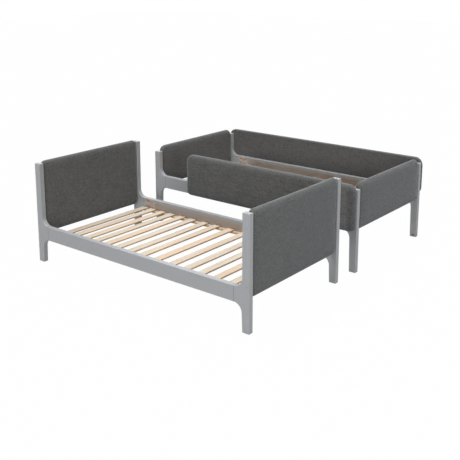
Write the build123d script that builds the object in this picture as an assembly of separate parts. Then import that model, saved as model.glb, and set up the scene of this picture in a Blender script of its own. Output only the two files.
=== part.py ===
from build123d import *
import os

# An upholstered bunk bed shown as its two single beds, side by side on the floor.
# Millimetres. +X runs along the beds from head to foot, +Y from the front bed to the
# back bed, +Z up. The origin is the middle of the whole footprint, on the floor.
# Each bed is first made in its own frame: x from the head end, y from its front face.

# Sleeping place
mattress_width = 990
mattress_length = 1905
side_slack = 2
end_slack = 16.5

# Posts, each cut in one piece with a stub of the side rail
post_thickness = 38
post_width = 57
leg_width = 60
foot_width = 55
stub_length = 65
edge_round = 3
seam_bevel = 1
low_post_height = 782
high_post_height = 645

# Side rails, their rebate and the strips that carry the slats
rail_height = 107
low_rail_bottom = 189
high_rail_bottom = 324
lip_height = 28
rebate_depth = 12
rebate_start = 261
ledger_width = 25
ledger_height = 17

# Slats
slat_width = 60
slat_thickness = 12
slat_end_gap = 2
first_slat_edge = 118
slat_place_shares = (0, 0.054, 0.118, 0.179, 0.244, 0.311, 0.387, 0.457,
                     0.539, 0.621, 0.699, 0.774, 0.850, 0.928, 1)

# Upholstered end panels
pad_side_gap = 3
pad_recess = 3
core_thickness = 18
core_setback = 22
rim_foam = 12
pad_crown = 5
rim_reach = 24
end_rim_reach = 10
wood_rim_reach = 4
crown_reach = 70
rim_shares = ((0, 0.22), (0.1, 0.5), (0.4, 0.83), (1, 1))
panel_bottom_radius = 32
low_panel_rise = 16
low_panel_lift = 35
low_panel_top_radius = 30
high_panel_rise = 45
high_panel_lift = 0
high_panel_top_radius = 55
least_radius = 6

# Upholstered guards on the outside of the high bed
guard_thickness = 50
guard_rise = 40
guard_top_radius = 68
guard_bottom_radius = 40
front_guard_start = 411
front_guard_lift = 0
back_guard_lift = 54

# Places of the two beds
walkway = 180
bed_shift = 10

# Bolts, nuts, inserts, screws and caps
running_gap = 0.1
bolt_diameter = 8
bolt_head_diameter = 13
bolt_head_height = 6
socket_size = 5
socket_sides = 6
socket_depth = 3.5
insert_diameter = 12
insert_length = 25
pocket_start = 151
pocket_length = 83
pocket_height = 16
pocket_corner = 4
pocket_cover = 12
low_bolt_height = 39
bolt_spacing = 44
rail_bolt_length = 64
panel_bolt_length = 74
barrel_diameter = 12
barrel_inset = 32
bolt_top_drop = 96
bolt_bottom_rise = 84
cap_diameter = 16
cap_thickness = 3
guard_bolt_setback = 46
guard_bolt_rise = 39
guard_bolt_drop = 55
rail_guard_bolts = 3
guard_head_recess = 12
screw_diameter = 4
screw_head_diameter = 8
screw_head_height = 3
screw_length = 25
stack_pocket_diameter = 20
stack_pocket_height = 16
stack_pocket_depth = 26
overrun = 1
tolerance = 0.01

# Sizes that follow
inner_width = mattress_width + 2 * side_slack
bed_width = inner_width + 2 * post_thickness
bed_length = mattress_length + 2 * (end_slack + post_width)
seam = post_width + stub_length
slat_seat = ledger_height
rebate_top = rail_height - lip_height
bolt_heights = (low_bolt_height, low_bolt_height + bolt_spacing)
guard_bolt_heights = (high_rail_bottom + rail_height + guard_bolt_rise,
                      high_post_height - guard_bolt_drop)
guard_depth = post_thickness - guard_head_recess
row_length = bed_length + bed_shift
row_depth = 2 * bed_width + walkway + 2 * guard_thickness
ALONG_X = Plane(origin=(0, 0, 0), x_dir=(0, 1, 0), z_dir=(1, 0, 0))
ALONG_Y = Plane(origin=(0, 0, 0), x_dir=(0, 0, 1), z_dir=(0, 1, 0))
CORNERS = ("front_left", "front_right", "back_left", "back_right")


class Bed:
    """The heights in which the two beds differ."""

    def __init__(self, name, rail_bottom, post_height, panel_lift, panel_rise, top_radius):
        self.name = name
        self.rail_bottom = rail_bottom
        self.rail_top = rail_bottom + rail_height
        self.post_height = post_height
        self.panel_bottom = rail_bottom + panel_lift
        self.panel_top = post_height + panel_rise
        self.top_radius = top_radius
        self.panel_bolts = (self.panel_bottom + bolt_bottom_rise, post_height - bolt_top_drop)


low_bed = Bed("lower", low_rail_bottom, low_post_height,
              low_panel_lift, low_panel_rise, low_panel_top_radius)
high_bed = Bed("upper", high_rail_bottom, high_post_height,
               high_panel_lift, high_panel_rise, high_panel_top_radius)


def at(plane, x, y, z):
    """A plane moved to a point."""
    return Plane(origin=(x, y, z), x_dir=plane.x_dir, z_dir=plane.z_dir)


def rod(plane, x, y, z, diameter, length):
    """A cylinder that starts at a point and runs along the plane's normal."""
    return extrude(at(plane, x, y, z) * Circle(diameter / 2), length)


def block(x_low, x_high, y_low, y_high, z_low, z_high):
    """A box between two corners."""
    size = (x_high - x_low, y_high - y_low, z_high - z_low)
    middle = ((x_low + x_high) / 2, (y_low + y_high) / 2, (z_low + z_high) / 2)
    return Location(middle) * Box(*size)


def at_corner(shape, corner):
    """Carry a front left piece to another corner of its bed."""
    if corner.endswith("right"):
        shape = mirror(shape, about=Plane.YZ.offset(bed_length / 2))
    if corner.startswith("back"):
        shape = mirror(shape, about=Plane.XZ.offset(-bed_width / 2))
    return shape


def socket_bolt(plane, x, y, z, length):
    """A round headed bolt: the shank runs along the normal, the head lies behind the point."""
    back = at(plane, x, y, z).offset(-bolt_head_height)
    head = extrude(back * Circle(bolt_head_diameter / 2), bolt_head_height)
    shank = rod(plane, x, y, z, bolt_diameter, length)
    socket = extrude(back * RegularPolygon(socket_size / 2, socket_sides, major_radius=False), socket_depth)
    return head + shank - socket


def sleeve(plane, x, y, z, diameter, length):
    """A metal insert or nut with a bore for the bolt."""
    body = rod(plane, x, y, z, diameter, length)
    return body - rod(plane, x, y, z, bolt_diameter + running_gap, length)


def outline(width, height, bottom_radius, top_radius, inset, end_inset):
    """An upright rounded rectangle, drawn in on all sides, its lower edge centred on the origin."""
    shape = Rectangle(width - 2 * end_inset, height - 2 * inset)
    low_radius = max(bottom_radius - inset, least_radius)
    high_radius = max(top_radius - inset, least_radius)
    shape = fillet(shape.vertices().sort_by(Axis.Y)[:2], low_radius)
    shape = fillet(shape.vertices().sort_by(Axis.Y)[-2:], high_radius)
    return Location((0, height / 2, 0)) * shape


def pad(plane, width, height, thickness, bottom_radius, top_radius, back_crown):
    """A padded slab with a round rim and a low crown. Without a back crown it lies on wood there."""
    back_reach = (rim_reach, end_rim_reach) if back_crown else (wood_rim_reach, wood_rim_reach)
    front = [(crown_reach, crown_reach, thickness / 2)]
    front += [(rim_reach * reach, end_rim_reach * reach, (thickness / 2 - pad_crown) * depth)
              for reach, depth in reversed(rim_shares)]
    back = [(back_reach[0] * reach, back_reach[1] * reach, (back_crown - thickness / 2) * depth)
            for reach, depth in rim_shares]
    if back_crown:
        back.append((crown_reach, crown_reach, -thickness / 2))
    faces = [plane.offset(depth) * outline(width, height, bottom_radius, top_radius, inset, end_inset)
             for inset, end_inset, depth in front + back]
    return loft(faces, ruled=True)


def post_blank(bed):
    """The outline of a front left post with its stub, as one board with softened edges."""
    leg_bend = seam - leg_width
    spring = bed.rail_bottom - leg_bend
    lines = [
        Line((0, 0), (foot_width, 0)),
        Line((foot_width, 0), (leg_width, spring)),
        RadiusArc((leg_width, spring), (seam, bed.rail_bottom), leg_bend),
        Line((seam, bed.rail_bottom), (seam, bed.rail_top)),
        RadiusArc((seam, bed.rail_top), (post_width, bed.rail_top + stub_length), stub_length),
        Line((post_width, bed.rail_top + stub_length), (post_width, bed.post_height)),
        Line((post_width, bed.post_height), (0, bed.post_height)),
        Line((0, bed.post_height), (0, 0)),
    ]
    face = make_face([Plane.XZ * line for line in lines])
    board = extrude(face, post_thickness, dir=(0, 1, 0))
    soft = []
    for edge in board.edges():
        middle = edge.center()
        across = abs(edge.tangent_at(0).Y) > tolerance
        end_edge = middle.Z < tolerance or middle.Z > bed.post_height - tolerance
        if middle.X < seam - tolerance and (not across or end_edge):
            soft.append(edge)
    return fillet(soft, edge_round)


def panel_bolt_start():
    """How deep under the post's face the head of a panel bolt bears."""
    return cap_thickness + bolt_head_height + running_gap


def make_post(bed, corner):
    """One post of a bed, bored for its bolts and inserts."""
    post = post_blank(bed)
    middle = post_thickness / 2
    for height in bolt_heights:
        z = bed.rail_bottom + height
        post -= rod(ALONG_X, seam - insert_length, middle, z, insert_diameter, insert_length)
        depth = pocket_start - rail_bolt_length - bolt_diameter / 2
        post -= rod(ALONG_X, depth, middle, z, bolt_diameter + 2 * running_gap, seam - depth)
    for z in bed.panel_bolts:
        post -= rod(ALONG_Y, core_setback, 0, z, cap_diameter, cap_thickness)
        post -= rod(ALONG_Y, core_setback, 0, z, bolt_head_diameter + 2 * running_gap, panel_bolt_start())
        post -= rod(ALONG_Y, core_setback, 0, z, bolt_diameter + 2 * running_gap, post_thickness)
    if bed is low_bed:
        foot = bed.post_height - insert_length
        post -= rod(Plane.XY, post_width / 2, middle, foot, insert_diameter, insert_length)
    else:
        post -= rod(Plane.XY, post_width / 2, middle, 0, bolt_diameter + 2 * running_gap,
                    stack_pocket_height)
        post -= rod(ALONG_Y, post_width / 2, post_thickness - stack_pocket_depth,
                    stack_pocket_height, stack_pocket_diameter, stack_pocket_depth)
    if bed is high_bed and corner != "front_left":
        for z in guard_bolt_heights:
            post -= guard_bolt_space(guard_bolt_setback, post_thickness, z)
    return at_corner(post, corner)


def guard_bolt_space(x, face, z):
    """The hole and head recess of a guard bolt that enters the wood at a face and runs to -Y."""
    head = rod(ALONG_Y, x, face - guard_head_recess, z, bolt_head_diameter + 2 * running_gap,
               guard_head_recess)
    return head + rod(ALONG_Y, x, face - post_thickness, z, bolt_diameter + 2 * running_gap,
                      post_thickness)


def rail_guard_places():
    """Where the front guard is bolted to its rail."""
    span = bed_length - rebate_start - front_guard_start
    step = span / rail_guard_bolts
    return [front_guard_start + step * (number + 1 / 2) for number in range(rail_guard_bolts)]


def rail_guard_height():
    """The guard bolts of the rail sit in the middle of its rebate."""
    return high_bed.rail_bottom + (slat_seat + rebate_top) / 2


def make_rail(bed, side):
    """A side rail between the stubs: rebated inside, with a bolt pocket above another at each end."""
    rail = block(seam, bed_length - seam, 0, post_thickness, bed.rail_bottom, bed.rail_top)
    rail = fillet(rail.edges().filter_by(Axis.X), edge_round)
    for end in (rail.faces().sort_by(Axis.X)[0], rail.faces().sort_by(Axis.X)[-1]):
        rail = chamfer(end.edges(), seam_bevel)
    rail -= block(rebate_start, bed_length - rebate_start, post_thickness - rebate_depth,
                  post_thickness + overrun, bed.rail_bottom + slat_seat, bed.rail_bottom + rebate_top)
    middle = post_thickness / 2
    for height in bolt_heights:
        z = bed.rail_bottom + height
        slot = block(pocket_start, pocket_start + pocket_length, pocket_cover,
                     post_thickness + overrun, z - pocket_height / 2, z + pocket_height / 2)
        slot = fillet(slot.edges().filter_by(Axis.Y).sort_by(Axis.X)[-2:], pocket_corner)
        hole = rod(ALONG_X, seam, middle, z, bolt_diameter + 2 * running_gap, pocket_start - seam)
        space = slot + hole
        rail = rail - space - mirror(space, about=Plane.YZ.offset(bed_length / 2))
    if bed is high_bed and side == "front":
        for x in rail_guard_places():
            rail -= rod(ALONG_Y, x, 0, rail_guard_height(), bolt_diameter + 2 * running_gap,
                        post_thickness - rebate_depth)
    return at_corner(rail, side + "_left")


def slat_centres():
    """Where the slats lie along the bed. They are closer together at the head."""
    first = first_slat_edge + slat_width / 2
    span = bed_length - 2 * first
    return [first + share * span for share in slat_place_shares]


def screw_places(bed):
    """The head of each slat screw: two for every slat, over the middle of the ledgers."""
    z = bed.rail_bottom + slat_seat + slat_thickness
    inset = post_thickness + ledger_width / 2
    return [(x, y, z) for x in slat_centres() for y in (inset, bed_width - inset)]


def slat_screw(x, y, z, gap=0):
    """A countersunk wood screw with its head flush in the slat. A gap widens it to its hole."""
    shank = rod(Plane.XY, x, y, z - screw_length - gap, screw_diameter + 2 * gap, screw_length + gap)
    head = Location((x, y, z - screw_head_height / 2)) * Cone(
        screw_diameter / 2 + gap, screw_head_diameter / 2 + gap, screw_head_height)
    return shank + head


def make_ledger(bed, side):
    """The raw strip along a rail on which the slats lie."""
    strip = block(seam + running_gap, bed_length - seam - running_gap, post_thickness,
                  post_thickness + ledger_width, bed.rail_bottom, bed.rail_bottom + ledger_height)
    ledger = at_corner(strip, side + "_left")
    for x, y, z in screw_places(bed):
        if (y < bed_width / 2) == (side == "front"):
            ledger -= slat_screw(x, y, z, running_gap)
    return ledger


def make_slats(bed):
    """The row of flat boards that carries the mattress."""
    z = bed.rail_bottom + slat_seat
    y_low = post_thickness + slat_end_gap
    slats = []
    for x in slat_centres():
        board = block(x - slat_width / 2, x + slat_width / 2, y_low, bed_width - y_low,
                      z, z + slat_thickness)
        for place in screw_places(bed):
            if abs(place[0] - x) < tolerance:
                board -= slat_screw(*place, running_gap)
        slats.append(board)
    return slats


def panel_bolt_holes(bed):
    """The bores in an end panel's board for its bolts and their barrel nuts, at the head end."""
    holes = []
    for z in bed.panel_bolts:
        length = panel_bolt_length + panel_bolt_start() - post_thickness + bolt_diameter / 2
        bore = rod(ALONG_Y, core_setback, post_thickness, z, bolt_diameter + 2 * running_gap, length)
        nut = rod(ALONG_X, core_setback - core_thickness / 2, post_thickness + barrel_inset, z,
                  barrel_diameter, core_thickness)
        hole = bore + nut
        holes += [hole, mirror(hole, about=Plane.XZ.offset(-bed_width / 2))]
    return holes


def end_core_blank(bed):
    """The plain board inside an end panel, at the head end. Its side edges bear on the posts."""
    height = bed.panel_top - bed.panel_bottom - 2 * rim_foam
    face = outline(inner_width, height, panel_bottom_radius + rim_foam, bed.top_radius + rim_foam,
                   0, 0)
    place = at(ALONG_X, core_setback - core_thickness / 2, bed_width / 2, bed.panel_bottom + rim_foam)
    return extrude(place * face, core_thickness)


def make_end_core(bed, end):
    """The board inside an end panel, bored for its bolts and nuts."""
    core = end_core_blank(bed)
    for hole in panel_bolt_holes(bed):
        core -= hole
    return at_corner(core, "front_" + end)


def make_end_pad(bed, end):
    """The foam and cloth around an end panel's board, open at its sides where the board comes out."""
    width = inner_width - 2 * pad_side_gap
    height = bed.panel_top - bed.panel_bottom
    thickness = post_width - 2 * pad_recess
    place = at(ALONG_X, post_width / 2, bed_width / 2, bed.panel_bottom)
    cover = pad(place, width, height, thickness, panel_bottom_radius, bed.top_radius, pad_crown)
    return at_corner(cover - end_core_blank(bed), "front_" + end)


def guard_face(side):
    """The y of the wood that a guard lies against, and the y of the guard's outer face."""
    if side == "front":
        return 0, -guard_thickness
    return bed_width, bed_width + guard_thickness


def outward_plane(side):
    """An upright plane along the bed whose normal points away from it."""
    outward = -1 if side == "front" else 1
    return Plane(origin=(0, 0, 0), x_dir=(-outward, 0, 0), z_dir=(0, outward, 0))


def guard_span(side):
    """The start and length of a guard along the bed, and its lower and upper edge."""
    start = front_guard_start if side == "front" else 0
    lift = front_guard_lift if side == "front" else back_guard_lift
    return start, bed_length - start, high_bed.rail_bottom + lift, high_bed.post_height + guard_rise


def guard_core_blank(side):
    """The plain board inside a guard, in the middle of its thickness."""
    start, length, bottom, top = guard_span(side)
    middle = sum(guard_face(side)) / 2
    face = outline(length, top - bottom, guard_bottom_radius, guard_top_radius, rim_foam, rim_foam)
    place = at(outward_plane(side), start + length / 2, middle, bottom)
    return extrude(place * face, core_thickness / 2, both=True)


def guard_bolt_places(side):
    """Where the bolts of a guard enter: x, z and the depth of wood that each one passes."""
    posts = [bed_length - guard_bolt_setback]
    if side == "back":
        posts.append(guard_bolt_setback)
    places = [(x, z) for x in posts for z in guard_bolt_heights]
    if side == "front":
        places += [(x, rail_guard_height()) for x in rail_guard_places()]
    return places


def guard_bolt_length():
    """A guard bolt passes the wood, the foam behind the board and the board."""
    return guard_depth + (guard_thickness + core_thickness) / 2


def guard_holes(side):
    """The way of each guard bolt through the guard's foam and board."""
    length = guard_bolt_length() - guard_depth
    return [rod(outward_plane(side), x, guard_face(side)[0], z, insert_diameter, length)
            for x, z in guard_bolt_places(side)]


def make_guard_core(side):
    """The board inside a guard, bored for its inserts."""
    core = guard_core_blank(side)
    for hole in guard_holes(side):
        core -= hole
    return core


def make_guard_pad(side):
    """The foam and cloth around a guard's board, flat where it lies on the posts and the rail."""
    start, length, bottom, top = guard_span(side)
    place = at(outward_plane(side), start + length / 2, sum(guard_face(side)) / 2, bottom)
    cover = pad(place, length, top - bottom, guard_thickness, guard_bottom_radius,
                guard_top_radius, 0)
    cover -= guard_core_blank(side)
    for hole in guard_holes(side):
        cover -= hole
    return cover


def guard_fixings(side):
    """The bolts of a guard and the inserts in its board that they screw into."""
    wood, outer = guard_face(side)
    middle = (wood + outer) / 2
    inner_face = wood + guard_depth if side == "front" else wood - guard_depth
    bolts, inserts = [], []
    for x, z in guard_bolt_places(side):
        bolts.append(socket_bolt(outward_plane(side), x, inner_face, z, guard_bolt_length()))
        inserts.append(sleeve(ALONG_Y, x, middle - core_thickness / 2, z, insert_diameter,
                              core_thickness))
    return bolts, inserts


def rail_fixings(bed):
    """The bolts and inserts that pull a rail against the stubs, for all four corners."""
    bolts, inserts = [], []
    toward_post = Plane(origin=(0, 0, 0), x_dir=(0, 1, 0), z_dir=(-1, 0, 0))
    for corner in CORNERS:
        for height in bolt_heights:
            z = bed.rail_bottom + height
            bolt = socket_bolt(toward_post, pocket_start, post_thickness / 2, z, rail_bolt_length)
            insert = sleeve(ALONG_X, seam - insert_length, post_thickness / 2, z,
                            insert_diameter, insert_length)
            bolts.append(at_corner(bolt, corner))
            inserts.append(at_corner(insert, corner))
    return bolts, inserts


def panel_fixings(bed):
    """The bolts, barrel nuts and caps that hold the end panels between the posts."""
    bolts, nuts, caps = [], [], []
    for corner in CORNERS:
        for z in bed.panel_bolts:
            bolt = socket_bolt(ALONG_Y, core_setback, panel_bolt_start(), z, panel_bolt_length)
            nut = rod(ALONG_X, core_setback - core_thickness / 2 + running_gap,
                      post_thickness + barrel_inset, z, barrel_diameter,
                      core_thickness - 2 * running_gap)
            nut -= rod(ALONG_Y, core_setback, post_thickness, z, bolt_diameter + running_gap,
                       2 * barrel_inset)
            cap = rod(ALONG_Y, core_setback, 0, z, cap_diameter, cap_thickness)
            bolts.append(at_corner(bolt, corner))
            nuts.append(at_corner(nut, corner))
            caps.append(at_corner(cap, corner))
    return bolts, nuts, caps


def stack_inserts():
    """The threaded inserts in the low bed's post tops, into which the high bed is bolted."""
    return [at_corner(sleeve(Plane.XY, post_width / 2, post_thickness / 2,
                             low_post_height - insert_length, insert_diameter, insert_length), corner)
            for corner in CORNERS]


def make_bed(bed):
    """Every node of one bed, in the bed's own frame."""
    nodes = {}
    for corner in CORNERS:
        nodes["post_" + corner] = make_post(bed, corner)
    for side in ("front", "back"):
        nodes["rail_" + side] = make_rail(bed, side)
        nodes["ledger_" + side] = make_ledger(bed, side)
    for end, name in (("left", "headboard"), ("right", "footboard")):
        nodes[name + "_core"] = make_end_core(bed, end)
        nodes[name + "_pad"] = make_end_pad(bed, end)
    bolts, inserts = rail_fixings(bed)
    nodes["rail_bolts"] = bolts
    nodes["rail_inserts"] = inserts
    bolts, nuts, caps = panel_fixings(bed)
    nodes["panel_bolts"] = bolts
    nodes["panel_nuts"] = nuts
    nodes["bolt_caps"] = caps
    nodes["slat_screws"] = [slat_screw(*place) for place in screw_places(bed)]
    slats = make_slats(bed)
    if bed is low_bed:
        for number, board in enumerate(slats, 1):
            nodes[f"slat_{number:02d}"] = board
        nodes["stack_inserts"] = stack_inserts()
    else:
        nodes["slats"] = slats
        guard_bolts, guard_inserts = [], []
        for side in ("front", "back"):
            nodes[side + "_guard_core"] = make_guard_core(side)
            nodes[side + "_guard_pad"] = make_guard_pad(side)
            bolts, inserts = guard_fixings(side)
            guard_bolts += bolts
            guard_inserts += inserts
        nodes["guard_bolts"] = guard_bolts
        nodes["guard_inserts"] = guard_inserts
    return nodes


def place_of(bed):
    """Where a bed stands in the row, with the origin in the middle of the footprint."""
    if bed is low_bed:
        return Location((-row_length / 2, -row_depth / 2, 0))
    y = bed_width + walkway + guard_thickness
    return Location((bed_shift - row_length / 2, y - row_depth / 2, 0))


os.makedirs("parts", exist_ok=True)
for bed in (low_bed, high_bed):
    for name, shape in make_bed(bed).items():
        if isinstance(shape, list):
            shape = Compound([solid for piece in shape for solid in piece.solids()])
        export_step(place_of(bed) * shape, f"parts/{bed.name}_{name}.step")
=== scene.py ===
# %% [markdown]
# # Two padded beds that make one bunk
# This bunk bed stands on the floor as its two single beds. Painted posts and rails
# carry raw pine slats, and foam pads covered with charcoal linen close the ends and
# guard the high bed. The wood comes from the CAD model and gets its finishes here.
# The pads, the slats and the small hardware are made here, because cloth, eased
# edges and screw recesses are what a plain solid lacks.

# %% The fixed frame
import math
import bmesh
import bpy
import numpy as np
from mathutils import Euler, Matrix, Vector


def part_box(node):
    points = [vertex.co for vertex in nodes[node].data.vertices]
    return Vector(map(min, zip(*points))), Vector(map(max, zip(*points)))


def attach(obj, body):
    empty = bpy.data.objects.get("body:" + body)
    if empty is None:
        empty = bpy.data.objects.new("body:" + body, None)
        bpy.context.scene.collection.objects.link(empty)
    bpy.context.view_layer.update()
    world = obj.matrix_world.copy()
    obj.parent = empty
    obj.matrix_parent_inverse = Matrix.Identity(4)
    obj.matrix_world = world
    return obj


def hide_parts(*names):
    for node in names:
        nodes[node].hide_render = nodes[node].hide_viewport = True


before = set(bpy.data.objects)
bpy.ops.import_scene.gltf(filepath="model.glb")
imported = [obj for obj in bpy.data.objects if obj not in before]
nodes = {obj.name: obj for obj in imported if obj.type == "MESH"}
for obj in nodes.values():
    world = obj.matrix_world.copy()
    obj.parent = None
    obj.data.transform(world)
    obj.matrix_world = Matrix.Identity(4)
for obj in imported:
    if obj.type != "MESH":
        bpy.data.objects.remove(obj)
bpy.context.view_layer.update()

# %% [markdown]
# The two beds share one design. Everything below is worked out from the sizes of a
# bed and from where its front left corner stands, in metres, as a joiner would mark
# it out from one corner. Measuring the frame's own nodes keeps the two in step.

# %% Sizes that the pieces share
MM = 0.001
BED_LENGTH = 2052 * MM
BED_WIDTH = 1070 * MM
STRIP_HEIGHT = 17 * MM
SLAT_WIDTH = 60 * MM
SLAT_THICKNESS = 12 * MM


def corner_of(bed):
    """The front left corner of a bed on the floor, and the bottom of its rails."""
    post_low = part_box(f"{bed}_post_front_left")[0]
    rail_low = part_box(f"{bed}_rail_front")[0]
    return Vector((post_low[0], post_low[1], 0)), rail_low[2]


beds = {bed: corner_of(bed) for bed in ("lower", "upper")}
for bed, (corner, rail_bottom) in beds.items():
    print(bed, "corner", [round(v, 4) for v in corner], "rail bottom", round(rail_bottom, 4))

# %% [markdown]
# A material is a small network. One function adds a node with its settings and links,
# for shaders and for Geometry Nodes alike, so that each network reads as a list.
# Colours are written as the sRGB hex values a paint shop would quote, and one function
# turns them into the linear light that the renderer counts in.


# %% Helpers for node trees and colours
def add(tree, kind, inputs=None, **settings):
    """Adds one node. Each input takes a value, or the socket that feeds it."""
    node = tree.nodes.new(kind)
    for name, value in settings.items():
        setattr(node, name, value)
    for name, value in (inputs or {}).items():
        if isinstance(value, bpy.types.NodeSocket):
            tree.links.new(value, node.inputs[name])
        else:
            node.inputs[name].default_value = value
    return node


def linear(hex_colour):
    """The linear RGBA of an sRGB hex colour."""
    parts = [int(hex_colour[i:i + 2], 16) / 255 for i in (1, 3, 5)]
    return [p / 12.92 if p <= 0.04045 else ((p + 0.055) / 1.055) ** 2.4 for p in parts] + [1.0]


def start_material(name):
    """A material with a Principled shader wired to its output."""
    material = bpy.data.materials.new(name)
    material.use_nodes = True
    tree = material.node_tree
    tree.nodes.clear()
    shader = add(tree, "ShaderNodeBsdfPrincipled")
    add(tree, "ShaderNodeOutputMaterial", {"Surface": shader.outputs["BSDF"]})
    return material, tree, shader


def maths(tree, operation, a, b=0.0):
    """One sum, as a socket."""
    return add(tree, "ShaderNodeMath", {0: a, 1: b}, operation=operation).outputs[0]


def swing(tree, value, amount, base):
    """A value between 0 and 1 as a small swing upward from a base, as a socket."""
    return add(tree, "ShaderNodeMath", {0: value, 1: amount, 2: base},
               operation="MULTIPLY_ADD").outputs[0]


def noise(tree, place, scale, detail):
    """Even noise, as a socket."""
    return add(tree, "ShaderNodeTexNoise", {"Vector": place, "Scale": scale,
                                            "Detail": detail}).outputs[0]


def between(tree, value, low, high):
    """1 where a value lies between two limits, 0 elsewhere."""
    above = maths(tree, "GREATER_THAN", value, low)
    below = maths(tree, "LESS_THAN", value, high)
    return maths(tree, "MULTIPLY", above, below)


def blend(tree, factor, first, second):
    """A mix of two colours, as a socket."""
    mix = add(tree, "ShaderNodeMix", {0: factor, 6: first, 7: second}, data_type="RGBA")
    return mix.outputs[2]


def streaks(tree, place, fine, coarse, along, detail):
    """Noise drawn out along some axes: threads or grain. Sizes are in millimetres."""
    scale = [1 / (fine * MM)] * 3
    for axis in along:
        scale[axis] = 1 / (coarse * MM)
    stretched = add(tree, "ShaderNodeVectorMath", {0: place, 1: scale}, operation="MULTIPLY")
    pattern = add(tree, "ShaderNodeTexNoise", {"Vector": stretched.outputs[0], "Scale": 1.0,
                                               "Detail": detail, "Roughness": 0.55})
    return pattern.outputs[0]


print("a mid grey of #808080 is", round(linear("#808080")[0], 4), "in linear light")

# %% [markdown]
# ## Satin paint on wood
# The posts and rails are sprayed with a grey satin paint. The film is smooth, yet the
# grain underneath still lifts it a little, in long streaks along each board, and the
# sheen breaks up with it. Where a pocket was cut after painting the raw wood shows,
# warm and dull, drawn paler than the slats' pine as painted light within the pockets.
# The long walls of a rail's rebate are drawn warm grey, browner in long streaks along
# the board. Those cuts are found by their place: distances from the middle of the bed
# are the same at all four corners, so one rule serves them all. The hairline where a
# rail meets the stub of its post is less than 1 mm wide, too fine for this view, so
# its shadow is drawn a little wider than it is.


# %% The paint and the cuts in it
PAINT = "#A5A7AA"
# The rebate's long walls: a warm grey, browner in long streaks along the board.
REBATE_WALL_GREY = "#A9A6A4"
REBATE_WALL_BROWN = "#B9A391"
# Raw wood in the cuts, drawn paler than the slats' pine: painted light within the pockets.
LIT_RAW_CUT_DARK = "#E6B680"
LIT_RAW_CUT_PALE = "#FFE6C4"

# In millimetres from the middle of the bed, and from the bottom of its rails.
HALF_LENGTH, HALF_WIDTH = BED_LENGTH / MM / 2, BED_WIDTH / MM / 2
RAIL_THICKNESS, RAIL_HEIGHT = 38, 107
RAIL_END, REBATE_END = 904, 765
SKIN = 1.2
HAIRLINE = (RAIL_END - 1.3, RAIL_END + 1.1)
HAIRLINE_SHADE = 0.7
POCKET_LENGTH = (REBATE_END + 2, RAIL_END - 0.5)
RAIL_DEPTH = (HALF_WIDTH - RAIL_THICKNESS + SKIN, HALF_WIDTH - SKIN)
POST_MIDDLE = HALF_LENGTH - 28.5
NUT_POCKET_REACH = 10.6
NUT_POCKET_DEPTH = (RAIL_DEPTH[0], 523.6)
HIGH_RAIL_BOTTOM = 324
NUT_POCKET_HEIGHT = (0.6 - HIGH_RAIL_BOTTOM, 26.6 - HIGH_RAIL_BOTTOM)


def paint_material(name, bed, along, cuts):
    """Grey satin paint with its grain along one axis, and raw wood where cuts() says so."""
    material, tree, shader = start_material(name)
    corner, rail_bottom = beds[bed]
    place = add(tree, "ShaderNodeTexCoord").outputs["Object"]
    middle = (corner.x + BED_LENGTH / 2, corner.y + BED_WIDTH / 2, rail_bottom)
    shifted = add(tree, "ShaderNodeVectorMath", {0: place, 1: middle}, operation="SUBTRACT")
    in_mm = add(tree, "ShaderNodeVectorMath", {0: shifted.outputs[0], 1: (1000, 1000, 1000)},
                operation="MULTIPLY")
    parts = add(tree, "ShaderNodeSeparateXYZ", {0: in_mm.outputs[0]})
    x = maths(tree, "ABSOLUTE", parts.outputs[0])
    y = maths(tree, "ABSOLUTE", parts.outputs[1])
    raw, rebate_walls = cuts(tree, x, y, parts.outputs[2])
    joint = between(tree, x, *HAIRLINE)
    grain = streaks(tree, place, fine=5, coarse=160, along=(along,), detail=4.0)
    mottle = noise(tree, place, scale=9.0, detail=3.0)
    tone = swing(tree, mottle, amount=0.06, base=0.97)
    ridges = maths(tree, "MULTIPLY", maths(tree, "SUBTRACT", grain, 0.5), 0.10)
    tone = maths(tree, "ADD", tone, ridges)
    tone = maths(tree, "SUBTRACT", tone, maths(tree, "MULTIPLY", joint, HAIRLINE_SHADE))
    # Long streaks along the board blend the rebate's walls from the warm grey to the browner one.
    rebate_streaks = streaks(tree, place, fine=16, coarse=900, along=(along,), detail=1.0)
    show = add(tree, "ShaderNodeMapRange", {"Value": rebate_streaks, "From Min": 0.38, "From Max": 0.62})
    rebate_wall_colour = blend(tree, show.outputs[0], linear(REBATE_WALL_GREY), linear(REBATE_WALL_BROWN))
    colour = blend(tree, rebate_walls, linear(PAINT), rebate_wall_colour)
    # The raw wood's colour, paler than the slats' pine, is painted light within the pockets.
    wood = streaks(tree, place, fine=3, coarse=60, along=(along,), detail=3.0)
    lit_raw_wood_colour = blend(tree, wood, linear(LIT_RAW_CUT_DARK), linear(LIT_RAW_CUT_PALE))
    colour = blend(tree, raw, colour, lit_raw_wood_colour)
    shaded = add(tree, "ShaderNodeVectorMath", {0: colour, "Scale": tone}, operation="SCALE")
    roughness = swing(tree, mottle, amount=0.10, base=0.36)
    roughness = maths(tree, "ADD", roughness, maths(tree, "MULTIPLY", raw, 0.35))
    bump = add(tree, "ShaderNodeBump", {"Strength": 0.25, "Distance": 0.0006, "Height": grain})
    tree.links.new(shaded.outputs[0], shader.inputs["Base Color"])
    tree.links.new(roughness, shader.inputs["Roughness"])
    tree.links.new(bump.outputs[0], shader.inputs["Normal"])
    shader.inputs["IOR"].default_value = 1.5
    return material


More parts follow.
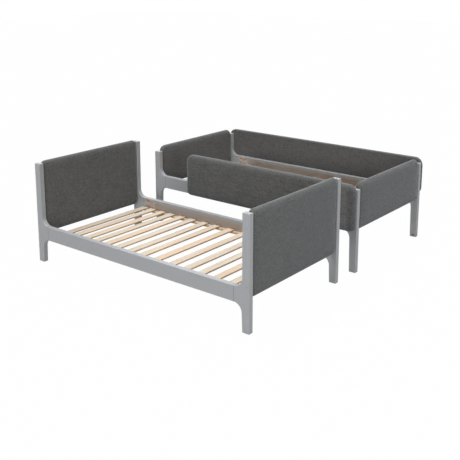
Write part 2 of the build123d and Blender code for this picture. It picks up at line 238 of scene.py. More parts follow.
def rail_cuts(tree, x, y, z):
    """Bolt pockets and the rebate's end walls are raw, its long walls drawn a streaked warm grey.
    """
    inside = maths(tree, "MULTIPLY", between(tree, y, *RAIL_DEPTH),
                   between(tree, z, SKIN, RAIL_HEIGHT - SKIN))
    normal = add(tree, "ShaderNodeNewGeometry").outputs["Normal"]
    facing = add(tree, "ShaderNodeSeparateXYZ", {0: normal}).outputs[0]
    end_wall = maths(tree, "GREATER_THAN", maths(tree, "ABSOLUTE", facing), 0.6)
    in_pocket = between(tree, x, *POCKET_LENGTH)
    raw = maths(tree, "MULTIPLY", inside, maths(tree, "MAXIMUM", end_wall, in_pocket))
    rebate = maths(tree, "MULTIPLY", inside, maths(tree, "SUBTRACT", 1.0, raw))
    return raw, rebate


def post_cuts(tree, x, y, z):
    """The round pocket low in a high foot is raw. On the low bed its place is below the floor."""
    across = between(tree, x, POST_MIDDLE - NUT_POCKET_REACH, POST_MIDDLE + NUT_POCKET_REACH)
    inward = between(tree, y, *NUT_POCKET_DEPTH)
    height = between(tree, z, *NUT_POCKET_HEIGHT)
    raw = maths(tree, "MULTIPLY", maths(tree, "MULTIPLY", across, inward), height)
    return raw, 0.0


for bed in beds:
    post_paint = paint_material(f"satin_paint_post_{bed}", bed, 2, post_cuts)
    rail_paint = paint_material(f"satin_paint_rail_{bed}", bed, 0, rail_cuts)
    painted = 0
    for name, node in nodes.items():
        if name.startswith(f"{bed}_post") or name.startswith(f"{bed}_rail_front") \
                or name.startswith(f"{bed}_rail_back"):
            for slot in node.material_slots:
                slot.material = post_paint if "_post" in name else rail_paint
            painted += 1
    print(bed, "painted pieces:", painted)

# %% [markdown]
# ## Planed pine
# The slats and the strips under them are bare pine, planed and left dry. Pine shows
# pale and honey bands along the board where its rings were cut, finer than this view
# can show, so the bands are drawn some 9 mm apart. A few knots sit among them. Every
# face that does not look up or down is drawn warmer and browner: painted warm shade on
# the boards' sides. No two boards have quite the same tone: each board carries a number
# of its own that shifts its colour and slides its grain.


# %% The pine
PINE_DARK, PINE_PALE = "#C3B4A0", "#DAD0C1"
PINE_KNOT, PINE_WARM, PINE_SIDE_SHADE = "#A8764A", "#D7C0A5", "#D3A974"
KNOTS_APART_ACROSS, KNOTS_APART_ALONG = 0.11, 0.30


def pine_material(name, along, per_board):
    """Bare pine with its grain along one axis. A board's own number moves and tints it."""
    material, tree, shader = start_material(name)
    place = add(tree, "ShaderNodeTexCoord").outputs["Object"]
    if per_board:
        number = add(tree, "ShaderNodeAttribute", attribute_name="board_number").outputs["Fac"]
        slide = add(tree, "ShaderNodeCombineXYZ", {
            0: number, 1: maths(tree, "MULTIPLY", number, 7.3),
            2: maths(tree, "MULTIPLY", number, 3.1)})
        place = add(tree, "ShaderNodeVectorMath", {0: place, 1: slide.outputs[0]}).outputs[0]
        tint = maths(tree, "FRACT", maths(tree, "MULTIPLY", number, 5.77))
    else:
        tint = 0.45
    bands = streaks(tree, place, fine=9, coarse=420, along=(along,), detail=3.0)
    fibres = streaks(tree, place, fine=2.5, coarse=120, along=(along,), detail=2.0)
    ramp = add(tree, "ShaderNodeValToRGB", {"Fac": bands})
    ramp.color_ramp.elements[0].position = 0.36
    ramp.color_ramp.elements[0].color = linear(PINE_DARK)
    ramp.color_ramp.elements[1].position = 0.66
    ramp.color_ramp.elements[1].color = linear(PINE_PALE)
    flat = [1 / KNOTS_APART_ACROSS] * 3
    flat[along] = 1 / KNOTS_APART_ALONG
    squeezed = add(tree, "ShaderNodeVectorMath", {0: place, 1: flat}, operation="MULTIPLY")
    spots = add(tree, "ShaderNodeTexVoronoi", {"Vector": squeezed.outputs[0], "Scale": 1.0})
    knot = add(tree, "ShaderNodeMapRange", {"Value": spots.outputs["Distance"], "From Min": 0.03,
                                            "From Max": 0.075, "To Min": 0.55, "To Max": 0.0})
    colour = blend(tree, knot.outputs[0], ramp.outputs[0], linear(PINE_KNOT))
    warm = maths(tree, "MULTIPLY", maths(tree, "POWER", tint, 2.0), 0.8)
    colour = blend(tree, warm, colour, linear(PINE_WARM))
    # Painted warm shade: every face that does not look up or down takes a browner colour.
    normal = add(tree, "ShaderNodeNewGeometry").outputs["Normal"]
    upward = maths(tree, "ABSOLUTE", add(tree, "ShaderNodeSeparateXYZ", {0: normal}).outputs[2])
    side_shade = maths(tree, "MULTIPLY", maths(tree, "LESS_THAN", upward, 0.8), 0.75)
    colour = blend(tree, side_shade, colour, linear(PINE_SIDE_SHADE))
    tone = swing(tree, fibres, amount=0.12, base=0.94)
    shaded = add(tree, "ShaderNodeVectorMath", {0: colour, "Scale": tone}, operation="SCALE")
    bump = add(tree, "ShaderNodeBump", {"Strength": 0.2, "Distance": 0.0004, "Height": fibres})
    tree.links.new(shaded.outputs[0], shader.inputs["Base Color"])
    tree.links.new(bump.outputs[0], shader.inputs["Normal"])
    shader.inputs["Roughness"].default_value = 0.62
    shader.inputs["IOR"].default_value = 1.5
    return material


slat_pine = pine_material("planed_pine_slats", 1, True)
strip_pine = pine_material("planed_pine_strips", 0, False)
for name, node in nodes.items():
    if "_ledger_" in name:
        for slot in node.material_slots:
            slot.material = strip_pine
print("pine materials:", slat_pine.name, strip_pine.name)

# %% [markdown]
# ## Charcoal linen
# The pads are covered with a flat woven linen-look cloth: dark warp and weft with
# slubs, thicker stretches of thread that catch the light. The real threads are about
# 0.6 mm, which this view can't show, so they are drawn 4 mm wide in stretches of
# 26 mm, and the slubs 120 mm long. All are faint, because the two threads have nearly
# one colour. Loose fibre ends give the cloth a pale sheen where it turns away.


# %% The cloth
LINEN_DARK, LINEN_PALE, LINEN_SHEEN = "#484949", "#6E6E6D", "#C9D0D6"
THREAD_SHARE = 0.385


def linen_material(name, across):
    """Woven cloth on a panel. Its weft runs along one horizontal axis and its warp upward."""
    material, tree, shader = start_material(name)
    place = add(tree, "ShaderNodeTexCoord").outputs["Object"]
    depth = 1 - across
    warp = streaks(tree, place, fine=4, coarse=26, along=(2, depth), detail=2.0)
    weft = streaks(tree, place, fine=4, coarse=26, along=(across,), detail=2.0)
    slub = streaks(tree, place, fine=5, coarse=120, along=(across,), detail=1.0)
    cloud = noise(tree, place, scale=5.0, detail=2.0)
    weave = maths(tree, "ADD", warp, weft)
    height = maths(tree, "ADD", weave, maths(tree, "MULTIPLY", slub, 0.6))
    spread = maths(tree, "MULTIPLY", height, THREAD_SHARE)
    ramp = add(tree, "ShaderNodeValToRGB", {"Fac": spread})
    ramp.color_ramp.elements[0].position = 0.36
    ramp.color_ramp.elements[0].color = linear(LINEN_DARK)
    ramp.color_ramp.elements[1].position = 0.64
    ramp.color_ramp.elements[1].color = linear(LINEN_PALE)
    tone = swing(tree, cloud, amount=0.12, base=0.94)
    shaded = add(tree, "ShaderNodeVectorMath", {0: ramp.outputs[0], "Scale": tone},
                 operation="SCALE")
    bump = add(tree, "ShaderNodeBump", {"Strength": 0.35, "Distance": 0.0008, "Height": height})
    tree.links.new(shaded.outputs[0], shader.inputs["Base Color"])
    tree.links.new(bump.outputs[0], shader.inputs["Normal"])
    shader.inputs["Roughness"].default_value = 0.85
    shader.inputs["Sheen Weight"].default_value = 0.85
    shader.inputs["Sheen Roughness"].default_value = 0.4
    shader.inputs["Sheen Tint"].default_value = linear(LINEN_SHEEN)
    shader.inputs["Specular IOR Level"].default_value = 0.3
    return material


end_linen = linen_material("charcoal_linen_end_panels", 1)
guard_linen = linen_material("charcoal_linen_guards", 0)
print("cloth:", end_linen.name, guard_linen.name)

# %% [markdown]
# ## Small finishes
# The panel boards show only in the narrow gap beside each pad, and are drawn near black
# with a fine grain: painted shade for that gap. Bolts, nuts and screws are zinc plated
# steel: a blue-white metal, a little cloudy. The caps over the panel bolts are moulded in
# a plastic that matches the paint, with no gloss.


# %% Felt, steel and caps
def plain_material(name, colour, roughness, metallic, grain, depth):
    """One colour with a fine grain in its tone, its gloss and its surface."""
    material, tree, shader = start_material(name)
    place = add(tree, "ShaderNodeTexCoord").outputs["Object"]
    speckle = noise(tree, place, scale=1 / (grain * MM), detail=3.0)
    tone = swing(tree, speckle, amount=0.24, base=0.88)
    shaded = add(tree, "ShaderNodeVectorMath", {0: linear(colour)[:3], "Scale": tone},
                 operation="SCALE")
    rough = swing(tree, speckle, amount=0.14, base=roughness - 0.07)
    bump = add(tree, "ShaderNodeBump", {"Strength": 0.3, "Distance": depth * MM, "Height": speckle})
    tree.links.new(shaded.outputs[0], shader.inputs["Base Color"])
    tree.links.new(rough, shader.inputs["Roughness"])
    tree.links.new(bump.outputs[0], shader.inputs["Normal"])
    shader.inputs["Metallic"].default_value = metallic
    return material


# The boards' edges beside the pads, drawn near black as painted shade for those gaps.
board_gap_shade = plain_material("board_gap_painted_shade", "#2A2B2C",
                      roughness=0.9, metallic=0.0, grain=1.5, depth=0.4)
zinc = plain_material("zinc_plated_steel", "#B9BCBF",
                      roughness=0.34, metallic=1.0, grain=2.0, depth=0.05)
cap_plastic = plain_material("moulded_cap_plastic", "#9DA2A6",
                             roughness=0.5, metallic=0.0, grain=1.0, depth=0.05)
finishes = {"core": board_gap_shade, "caps": cap_plastic, "bolts": zinc, "nuts": zinc, "inserts": zinc,
            "screws": zinc}
counted = dict.fromkeys(finishes, 0)
for name, node in nodes.items():
    kind = name.rsplit("_", 1)[-1]
    if kind in finishes:
        counted[kind] += 1
        for slot in node.material_slots:
            slot.material = finishes[kind]
print("small finishes on:", counted)

# %% [markdown]
# ## The padded panels
# Each pad is a board with foam around it and cloth drawn over the foam. The foam makes
# a full rim, rounder along the top and bottom than at the ends, and the cloth pulls
# the faces into a low crown. It could be a rounded box, but cloth under tension has
# softer corners than any bevel, so the form starts as rings of a rounded rectangle,
# is remeshed into an even net and is swelled as cloth, within a few millimetres.


# %% A ring, and a closed slab from several of them
LEAST_RADIUS = 4 * MM
CORNER_STEPS = 10


def ring(width, height, bottom_radius, top_radius, inset, end_inset):
    """Points around an upright rounded rectangle, drawn in above and below, and at its ends."""
    low_radius = max(bottom_radius - inset, LEAST_RADIUS)
    high_radius = max(top_radius - inset, LEAST_RADIUS)
    half, top = width / 2 - end_inset, height - inset
    centres = [(half - low_radius, inset + low_radius, low_radius, -90),
               (half - high_radius, top - high_radius, high_radius, 0),
               (-half + high_radius, top - high_radius, high_radius, 90),
               (-half + low_radius, inset + low_radius, low_radius, 180)]
    points = []
    for u, v, radius, start in centres:
        for step in range(CORNER_STEPS + 1):
            angle = math.radians(start + 90 * step / CORNER_STEPS)
            points.append((u + radius * math.cos(angle), v + radius * math.sin(angle)))
    return points


def slab(name, rings, place):
    """A closed mesh through rings of (points, depth), each point set by place(u, v, depth)."""
    net = bmesh.new()
    loops = [[net.verts.new(place(u, v, depth)) for u, v in points] for points, depth in rings]
    for first, second in zip(loops, loops[1:]):
        for i in range(len(first)):
            j = (i + 1) % len(first)
            net.faces.new((first[i], first[j], second[j], second[i]))
    net.faces.new(loops[0])
    net.faces.new(reversed(loops[-1]))
    bmesh.ops.recalc_face_normals(net, faces=net.faces)
    mesh = bpy.data.meshes.new(name)
    net.to_mesh(mesh)
    net.free()
    piece = bpy.data.objects.new(name, mesh)
    bpy.context.scene.collection.objects.link(piece)
    return piece


print("a ring has", len(ring(1, 1, 0.05, 0.05, 0, 0)), "points")

# %% [markdown]
# The swelling is Blender's own cloth with air pressure inside and no weight. Only the
# first twenty frames are needed. The cloth rises most in the middle of a face, and the
# foam gives less the further it is pressed, so the rise is eased off towards its
# limit. In the panel's own plane the board holds the outline, so a point hardly moves.


# %% Remeshing and swelling a pad
NET_SIZE = 8 * MM
AIR_PRESSURE = 4.0
LAST_FRAME = 20
CLOTH_RISE = 4 * MM
SIDEWAYS_LIMIT = 1 * MM
EASE_SHARE = 0.4


def apply_modifiers(piece):
    """Turns what the modifiers show into the piece's own mesh."""
    shown = piece.evaluated_get(bpy.context.evaluated_depsgraph_get())
    mesh = bpy.data.meshes.new_from_object(shown)
    piece.modifiers.clear()
    old = piece.data
    piece.data = mesh
    bpy.data.meshes.remove(old)
    mesh.name = piece.name


def points_of(mesh):
    """A mesh's points as an array."""
    flat = np.empty(len(mesh.vertices) * 3)
    mesh.vertices.foreach_get("co", flat)
    return flat.reshape(-1, 3)


def inflate(piece):
    """How far each point of a closed piece moves when it is swelled as cloth for twenty frames."""
    scene = bpy.context.scene
    start = points_of(piece.data)
    cloth = piece.modifiers.new("cloth", "CLOTH")
    cloth.settings.use_pressure = True
    cloth.settings.uniform_pressure_force = AIR_PRESSURE
    cloth.settings.quality = 4
    cloth.settings.effector_weights.gravity = 0.0
    cloth.point_cache.frame_start = 1
    cloth.point_cache.frame_end = LAST_FRAME
    for number in range(1, LAST_FRAME + 1):
        scene.frame_set(number)
    shown = piece.evaluated_get(bpy.context.evaluated_depsgraph_get())
    moved = points_of(shown.data)
    piece.modifiers.clear()
    scene.frame_set(1)
    return moved - start


def swell(piece, across, low, high):
    """Remeshes a pad, swells it across its face, and keeps it between two corners."""
    remesh = piece.modifiers.new("even net", "REMESH")
    remesh.mode = "VOXEL"
    remesh.voxel_size = NET_SIZE
    apply_modifiers(piece)
    start = points_of(piece.data)
    step = inflate(piece)
    furthest = max(float(np.abs(step[:, across]).max()), 1e-6)
    eased = np.clip(step, -SIDEWAYS_LIMIT, SIDEWAYS_LIMIT)
    eased[:, across] = CLOTH_RISE * np.tanh(step[:, across] / (EASE_SHARE * furthest))
    placed = np.clip(start + eased, low, high)
    piece.data.vertices.foreach_set("co", placed.ravel())
    piece.data.update()
    soften = piece.modifiers.new("soften", "SMOOTH")
    soften.iterations = 2
    soften.factor = 0.5
    finer = piece.modifiers.new("finer", "SUBSURF")
    finer.levels = finer.render_levels = 1
    apply_modifiers(piece)
    for face in piece.data.polygons:
        face.use_smooth = True
    return furthest


# %% [markdown]
# The six pads differ only in size, rounding and place. The end pads stand between the
# posts and swell on both faces. The guards lie flat on the wood and swell outward only.

# %% The rings of a pad
RIM_DEPTH = 24 * MM
RIM_CURVE = [(share, (1 - (1 - share) ** 3) ** 0.42)
             for share in (0.0, 0.01, 0.04, 0.09, 0.16, 0.26, 0.4, 0.6, 1.0)]
WOOD_CURVE = ((0.0, 0.60), (0.3, 0.90), (1.0, 1.0))
WOOD_REACH = 4 * MM


def rim_rings(width, height, bottom_radius, top_radius, reach, end_reach, wood_depth):
    """Rings from the middle of one face, round the rim, to the other face or to the wood."""
    front = [(reach * share, end_reach * share, RIM_DEPTH * depth) for share, depth in RIM_CURVE]
    back = front[1:]
    if wood_depth is not None:
        back = [(WOOD_REACH * share, WOOD_REACH * share, wood_depth * depth)
                for share, depth in WOOD_CURVE]
    steps = list(reversed(front)) + [(inset, end_inset, -depth) for inset, end_inset, depth in back]
    return [(ring(width, height, bottom_radius, top_radius, inset, end_inset), depth)
            for inset, end_inset, depth in steps]


print("rings round an end pad:", len(rim_rings(1, 1, 0.03, 0.03, 0.05, 0.02, None)))

# %% The six pads
END_BOTTOM_RADIUS, END_REACH, END_SIDE_REACH = 32 * MM, 52 * MM, 16 * MM
LOW_END_TOP_RADIUS, HIGH_END_TOP_RADIUS = 30 * MM, 55 * MM
GUARD_BOTTOM_RADIUS, GUARD_TOP_RADIUS = 40 * MM, 68 * MM
GUARD_REACH, GUARD_SIDE_REACH = 40 * MM, 30 * MM
END_ROOM = Vector((2, -0.2, 2)) * MM
GUARD_ROOM = Vector((1, 2, 2)) * MM


def end_pad(bed, board, top_radius):
    """The pad of a headboard or footboard, between its posts."""
    name = f"{bed}_{board}_pad"
    low, high = (Vector(c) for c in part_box(name))
    middle = (low + high) / 2
    rings = rim_rings(high.y - low.y, high.z - low.z, END_BOTTOM_RADIUS, top_radius,
                      END_REACH, END_SIDE_REACH, None)
    piece = slab(f"{name}_cloth", rings,
                 lambda u, v, depth: (middle.x + depth, middle.y + u, low.z + v))
    far = swell(piece, 0, low - END_ROOM, high + END_ROOM)
    return finish_pad(piece, name, bed, end_linen, far)


def guard_pad(side, out):
    """The pad of a guard, flat against the outside of the high bed's posts and rail."""
    name = f"upper_{side}_guard_pad"
    low, high = (Vector(c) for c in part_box(name))
    middle = (low + high) / 2
    rings = rim_rings(high.x - low.x, high.z - low.z, GUARD_BOTTOM_RADIUS, GUARD_TOP_RADIUS,
                      GUARD_REACH, GUARD_SIDE_REACH, high.y - middle.y)
    piece = slab(f"{name}_cloth", rings,
                 lambda u, v, depth: (middle.x + u, middle.y + out * depth, low.z + v))
    room_low, room_high = GUARD_ROOM.copy(), GUARD_ROOM.copy()
    if out < 0:
        room_high.y = 0
    else:
        room_low.y = 0
    far = swell(piece, 1, low - room_low, high + room_high)
    return finish_pad(piece, name, "upper", guard_linen, far)


def finish_pad(piece, name, bed, material, far):
    """Gives a pad its cloth and its place in the frame."""
    piece.data.materials.clear()
    piece.data.materials.append(material)
    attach(piece, f"{bed}_bed")
    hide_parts(name)
    print(piece.name, "faces", len(piece.data.polygons), "cloth moved", round(far * 1000, 1), "mm")
    return piece


pads = [end_pad("lower", "headboard", LOW_END_TOP_RADIUS),
        end_pad("lower", "footboard", LOW_END_TOP_RADIUS),
        end_pad("upper", "headboard", HIGH_END_TOP_RADIUS),
        end_pad("upper", "footboard", HIGH_END_TOP_RADIUS),
        guard_pad("front", -1), guard_pad("back", 1)]
print("pads:", len(pads))

# %% [markdown]
# ## The slats
# Fifteen planed boards lie across each bed, closer together at the head. They repeat,
# so Geometry Nodes make them: a rounded profile is swept along a line for one board,
# a screw hole is cut near each end, and a board is set on each point of a list. Each
# takes a number from its point, which the pine reads. The row ends as a plain mesh,
# because instances don't outlive export.


# %% A tree that sets boards on points
def geometry_tree(name, sockets):
    """A Geometry Nodes tree with named inputs, and its input and output nodes."""
    tree = bpy.data.node_groups.new(name, "GeometryNodeTree")
    tree.interface.new_socket("Geometry", in_out="INPUT", socket_type="NodeSocketGeometry")
    for label, kind, value in sockets:
        socket = tree.interface.new_socket(label, in_out="INPUT", socket_type=kind)
        if value is not None:
            socket.default_value = value
    tree.interface.new_socket("Geometry", in_out="OUTPUT", socket_type="NodeSocketGeometry")
    return tree, tree.nodes.new("NodeGroupInput"), tree.nodes.new("NodeGroupOutput")


def finish_tree(tree, instances, source, target):
    """Realizes the instances and gives them the tree's material."""
    real = add(tree, "GeometryNodeRealizeInstances", {"Geometry": instances})
    coloured = add(tree, "GeometryNodeSetMaterial", {"Geometry": real.outputs[0],
                                                     "Material": source.outputs["Material"]})
    tree.links.new(coloured.outputs[0], target.inputs[0])


def grow(name, points, tree, values, body, replaced):
    """Runs a tree on a list of points and keeps the result as one plain mesh on a body."""
    mesh = bpy.data.meshes.new(name)
    mesh.from_pydata(points, [], [])
    piece = bpy.data.objects.new(name, mesh)
    bpy.context.scene.collection.objects.link(piece)
    modifier = piece.modifiers.new("grow", "NODES")
    modifier.node_group = tree
    for item in tree.interface.items_tree:
        if item.in_out == "INPUT" and item.name in values:
            modifier[item.identifier] = values[item.name]
    apply_modifiers(piece)
    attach(piece, body)
    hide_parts(*replaced)
    print(name, "faces", len(piece.data.polygons))
    return piece


# The cone ends a little inside the shank, and the shank is turned a little, so that no
# two faces lie in one plane when the forms are cut or joined.
TIP_SHARE = 0.95
SHANK_TURN = 0.13


def screw_form(tree, shank_radius, head_radius, head_height, length):
    """A countersunk screw, or the hole for one, with the top of its head at the origin."""
    tip_radius = maths(tree, "MULTIPLY", shank_radius, TIP_SHARE)
    head = add(tree, "GeometryNodeMeshCone", {"Vertices": 24, "Radius Top": head_radius,
                                              "Radius Bottom": tip_radius, "Depth": head_height})
    lift = add(tree, "ShaderNodeCombineXYZ", {2: maths(tree, "MULTIPLY", head_height, -1.0)})
    seated = add(tree, "GeometryNodeTransform", {"Geometry": head.outputs["Mesh"],
                                                 "Translation": lift.outputs[0]})
    shank = add(tree, "GeometryNodeMeshCylinder", {"Vertices": 24, "Radius": shank_radius,
                                                   "Depth": length})
    half = maths(tree, "MULTIPLY", length, -0.5)
    drop = add(tree, "ShaderNodeCombineXYZ", {2: maths(tree, "SUBTRACT", half, maths(
        tree, "MULTIPLY", head_height, 0.9))})
    hung = add(tree, "GeometryNodeTransform", {"Geometry": shank.outputs["Mesh"],
                                               "Translation": drop.outputs[0],
                                               "Rotation": (0, 0, SHANK_TURN)})
    return seated.outputs[0], hung.outputs[0]


board_tree, source, target = geometry_tree("boards_on_points", [
    ("Width", "NodeSocketFloat", SLAT_WIDTH), ("Thickness", "NodeSocketFloat", SLAT_THICKNESS),
    ("Length", "NodeSocketFloat", 0.99), ("Edge Radius", "NodeSocketFloat", 0.002),
    ("Hole Spacing", "NodeSocketFloat", 0.969), ("Hole Radius", "NodeSocketFloat", 0.0021),
    ("Head Radius", "NodeSocketFloat", 0.0041), ("Head Height", "NodeSocketFloat", 0.003),
    ("Seed", "NodeSocketInt", 3), ("Material", "NodeSocketMaterial", None)])
profile = add(board_tree, "GeometryNodeCurvePrimitiveQuadrilateral",
              {"Width": source.outputs["Width"], "Height": source.outputs["Thickness"]})
eased = add(board_tree, "GeometryNodeFilletCurve", {"Curve": profile.outputs[0], "Count": 3,
                                                    "Radius": source.outputs["Edge Radius"]},
            mode="POLY")
near_end = add(board_tree, "ShaderNodeCombineXYZ", {1: maths(board_tree, "MULTIPLY",
                                                             source.outputs["Length"], -0.5)})
far_end = add(board_tree, "ShaderNodeCombineXYZ", {1: maths(board_tree, "MULTIPLY",
                                                            source.outputs["Length"], 0.5)})
spine = add(board_tree, "GeometryNodeCurvePrimitiveLine", {"Start": near_end.outputs[0],
                                                           "End": far_end.outputs[0]})
board = add(board_tree, "GeometryNodeCurveToMesh", {"Curve": spine.outputs[0],
                                                    "Profile Curve": eased.outputs[0],
                                                    "Fill Caps": True})
first_hole = add(board_tree, "ShaderNodeCombineXYZ", {
    1: maths(board_tree, "MULTIPLY", source.outputs["Hole Spacing"], -0.5),
    2: maths(board_tree, "MULTIPLY", source.outputs["Thickness"], 0.502)})
next_hole = add(board_tree, "ShaderNodeCombineXYZ", {1: source.outputs["Hole Spacing"]})
hole_points = add(board_tree, "GeometryNodeMeshLine", {
    "Count": 2, "Start Location": first_hole.outputs[0], "Offset": next_hole.outputs[0]})
cuts = screw_form(board_tree, source.outputs["Hole Radius"], source.outputs["Head Radius"],
                  source.outputs["Head Height"], 0.02)
holed = board.outputs[0]
for cut in cuts:
    placed = add(board_tree, "GeometryNodeInstanceOnPoints", {"Points": hole_points.outputs[0],
                                                              "Instance": cut})
    solid = add(board_tree, "GeometryNodeRealizeInstances", {"Geometry": placed.outputs[0]})
    holed = add(board_tree, "GeometryNodeMeshBoolean",
                {"Mesh 1": holed, "Mesh 2": solid.outputs[0]},
                operation="DIFFERENCE").outputs["Mesh"]
row = add(board_tree, "GeometryNodeInstanceOnPoints", {"Points": source.outputs["Geometry"],
                                                       "Instance": holed})
chance = add(board_tree, "FunctionNodeRandomValue", {"Seed": source.outputs["Seed"]},
             data_type="FLOAT")
numbered = add(board_tree, "GeometryNodeStoreNamedAttribute",
               {"Geometry": row.outputs[0], "Name": "board_number"},
               data_type="FLOAT", domain="INSTANCE")
board_tree.links.new(chance.outputs[1], numbered.inputs["Value"])
finish_tree(board_tree, numbered.outputs[0], source, target)
print("board tree inputs:", [item.name for item in board_tree.interface.items_tree])

# %% [markdown]
# The boards' places are shares of the way from the first board to the last, from the
# head to the foot. Their height follows from the strips that they lie on.

# %% The slats of both beds
SLAT_SHARES = (0, 0.054, 0.118, 0.179, 0.244, 0.311, 0.387, 0.457,
               0.539, 0.621, 0.699, 0.774, 0.850, 0.928, 1)
FIRST_SLAT = 148 * MM


def slat_places(bed):
    """The middle of each slat of a bed."""
    corner, rail_bottom = beds[bed]
    span = BED_LENGTH - 2 * FIRST_SLAT
    middle, height = corner.y + BED_WIDTH / 2, rail_bottom + STRIP_HEIGHT + SLAT_THICKNESS / 2
    return [(corner.x + FIRST_SLAT + share * span, middle, height) for share in SLAT_SHARES]


slat_nodes = {"lower": [f"lower_slat_{number:02d}" for number in range(1, 16)],
              "upper": ["upper_slats"]}
for number, bed in enumerate(beds):
    grow(f"{bed}_slat_boards", slat_places(bed), board_tree,
         {"Seed": 3 + number, "Material": slat_pine}, f"{bed}_bed", slat_nodes[bed])

# %% [markdown]
# Two zinc plated screws hold each slat down on the strips. Their heads are countersunk
# just below the wood and have the cross recess of a driver. Sixty of them repeat, so a
# second tree cuts the cross into one head and sets it on the points where they go.

# %% The slat screws
CROSS_DEPTHS = (3.2 * MM, 3.0 * MM)
SCREW_FROM_MIDDLE = 484.5 * MM
SCREW_TOP = 5.9 * MM
MOST_TURN = 1.57
FLOAT_MAX = 3  # the random node's input for the most that a plain number may be

screw_tree, source, target = geometry_tree("screws_on_points", [
    ("Head Radius", "NodeSocketFloat", 0.0039), ("Shank Radius", "NodeSocketFloat", 0.0019),
    ("Head Height", "NodeSocketFloat", 0.0028), ("Length", "NodeSocketFloat", 0.021),
    ("Cross Length", "NodeSocketFloat", 0.0046), ("Cross Width", "NodeSocketFloat", 0.0011),
    ("Seed", "NodeSocketInt", 11), ("Material", "NodeSocketMaterial", None)])
head, shank = screw_form(screw_tree, source.outputs["Shank Radius"], source.outputs["Head Radius"],
                         source.outputs["Head Height"], source.outputs["Length"])
for turned, depth in enumerate(CROSS_DEPTHS):
    size = add(screw_tree, "ShaderNodeCombineXYZ", {turned: source.outputs["Cross Length"],
                                                    1 - turned: source.outputs["Cross Width"],
                                                    2: depth})
    bar = add(screw_tree, "GeometryNodeMeshCube", {"Size": size.outputs[0]})
    head = add(screw_tree, "GeometryNodeMeshBoolean",
               {"Mesh 1": head, "Mesh 2": bar.outputs["Mesh"]},
               operation="DIFFERENCE").outputs["Mesh"]
screw = add(screw_tree, "GeometryNodeJoinGeometry", {"Geometry": head})
screw_tree.links.new(shank, screw.inputs["Geometry"])
turn = add(screw_tree, "FunctionNodeRandomValue",
           {"Seed": source.outputs["Seed"], FLOAT_MAX: MOST_TURN}, data_type="FLOAT")
turns = add(screw_tree, "ShaderNodeCombineXYZ", {2: turn.outputs[1]})
screws = add(screw_tree, "GeometryNodeInstanceOnPoints", {
    "Points": source.outputs["Geometry"], "Instance": screw.outputs[0],
    "Rotation": turns.outputs[0]})
finish_tree(screw_tree, screws.outputs[0], source, target)

for number, bed in enumerate(beds):
    tops = [(x, y + side * SCREW_FROM_MIDDLE, z + SCREW_TOP)
            for x, y, z in slat_places(bed) for side in (-1, 1)]
    grow(f"{bed}_countersunk_screws", tops, screw_tree, {"Seed": 11 + number, "Material": zinc},
         f"{bed}_bed", [f"{bed}_slat_screws"])

# %% [markdown]
# ## The studio
# A pale floor, a dim even sky, and soft light from above with a little from behind. Two
# softboxes stand low. The front one is far off, so its light differs little between the
# beds. The right one stands to the front right, nearer to the low bed than to the high.
# The background is white only to the camera and in reflections, and lights nothing by
# itself. The floor keeps a trace of its own grey, so that the shadow on it remains.


# %% Floor and sky
FLOOR_GREY = "#AAAAAA"
FLOOR_REACH = 30
FLOOR_WHITE_SHARE = 0.985
SKY_STRENGTH = 0.12


def seen_white(tree):
    """1 for what the camera and reflections see, 0 for what lights the object."""
    path = add(tree, "ShaderNodeLightPath")
    seen = maths(tree, "MAXIMUM", path.outputs["Is Camera Ray"], path.outputs["Is Glossy Ray"])
    seen = maths(tree, "MAXIMUM", seen, path.outputs["Is Transmission Ray"])
    return seen


floor_mesh = bpy.data.meshes.new("floor")
side = FLOOR_REACH
floor_mesh.from_pydata([(-side, -side, 0), (side, -side, 0), (side, side, 0), (-side, side, 0)],
                       [], [(0, 1, 2, 3)])
floor = bpy.data.objects.new("floor", floor_mesh)
bpy.context.scene.collection.objects.link(floor)
floor_material = bpy.data.materials.new("pale_studio_floor")
floor_material.use_nodes = True
tree = floor_material.node_tree
tree.nodes.clear()
lit = add(tree, "ShaderNodeBsdfDiffuse", {"Color": linear(FLOOR_GREY)})
white = add(tree, "ShaderNodeEmission", {"Color": (1, 1, 1, 1), "Strength": 1.0})
share = maths(tree, "MULTIPLY", seen_white(tree), FLOOR_WHITE_SHARE)
mixed = add(tree, "ShaderNodeMixShader", {0: share, 1: lit.outputs[0], 2: white.outputs[0]})
add(tree, "ShaderNodeOutputMaterial", {"Surface": mixed.outputs[0]})
floor.data.materials.append(floor_material)

world = bpy.data.worlds.new("studio")
bpy.context.scene.world = world
world.use_nodes = True
tree = world.node_tree
tree.nodes.clear()
sky = add(tree, "ShaderNodeBackground", {"Color": (1, 1, 1, 1), "Strength": SKY_STRENGTH})
white = add(tree, "ShaderNodeBackground", {"Color": (1, 1, 1, 1), "Strength": 1.0})
mixed = add(tree, "ShaderNodeMixShader",
            {0: seen_white(tree), 1: sky.outputs[0], 2: white.outputs[0]})
add(tree, "ShaderNodeOutputWorld", {"Surface": mixed.outputs[0]})
print("floor", FLOOR_GREY, "sky strength", SKY_STRENGTH)


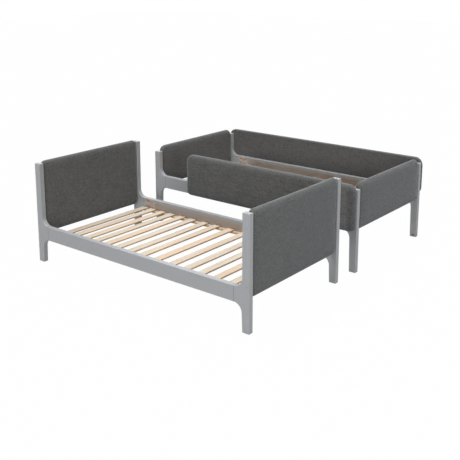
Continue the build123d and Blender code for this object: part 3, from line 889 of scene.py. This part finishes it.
# %% Lamps
def overhead(name, turn, height, strength, softness):
    """Soft light from far off. Its turn is counted in degrees from the front towards the right."""
    data = bpy.data.lights.new(name, "SUN")
    data.energy = strength
    data.angle = math.radians(softness)
    a, e = math.radians(turn), math.radians(height)
    toward = Vector((math.sin(a) * math.cos(e), -math.cos(a) * math.cos(e), math.sin(e)))
    return aim(name, data, toward, toward)


def softbox(name, place, target, width, height, watts):
    """A lit panel that stands at a place and faces a target."""
    data = bpy.data.lights.new(name, "AREA")
    data.shape = "RECTANGLE"
    data.size, data.size_y = width, height
    data.energy = watts
    return aim(name, data, place, Vector(place) - Vector(target))


def aim(name, data, place, backward):
    """Sets a lamp at a place, with its back turned one way."""
    light = bpy.data.objects.new(name, data)
    bpy.context.scene.collection.objects.link(light)
    light.location = place
    light.rotation_mode = "QUATERNION"
    light.rotation_quaternion = backward.to_track_quat("Z", "Y")
    return light


overhead("overhead", turn=0, height=88, strength=3.15, softness=45)
overhead("fill from behind", turn=215, height=30, strength=0.45, softness=60)
softbox("front softbox", place=(0.5, -9.5, 2.4), target=(0.0, -0.5, 0.4),
        width=1.2, height=1.2, watts=210)
softbox("right softbox", place=(6.4, -3.6, 2.1), target=(0.5, -0.3, 0.4),
        width=1.8, height=1.8, watts=118)

# %% [markdown]
# ## The camera
# The photograph looks down on the beds from the front right. Its posts stand nearly
# upright in the picture, as they do when the lens is shifted instead of tilted, so
# this camera takes part of the drop as shift and the rest as tilt.

# %% The camera
SENSOR_WIDTH = 36
LENS = 60.29
SHIFT = -0.2
CAMERA_PLACE = (3.681, -4.740, 2.186)
LOOK_DOWN = 11.97
TURN_LEFT = 38.53

camera_data = bpy.data.cameras.new("camera")
camera_data.sensor_width = SENSOR_WIDTH
camera_data.lens = LENS
camera_data.shift_y = SHIFT
camera = bpy.data.objects.new("camera", camera_data)
bpy.context.scene.collection.objects.link(camera)
camera.location = CAMERA_PLACE
camera.rotation_euler = Euler((math.radians(90 - LOOK_DOWN), 0, math.radians(TURN_LEFT)))
bpy.context.scene.camera = camera
bpy.context.scene.view_settings.view_transform = "Standard"
print("camera at", [round(v, 3) for v in camera.location], "lens", camera_data.lens)
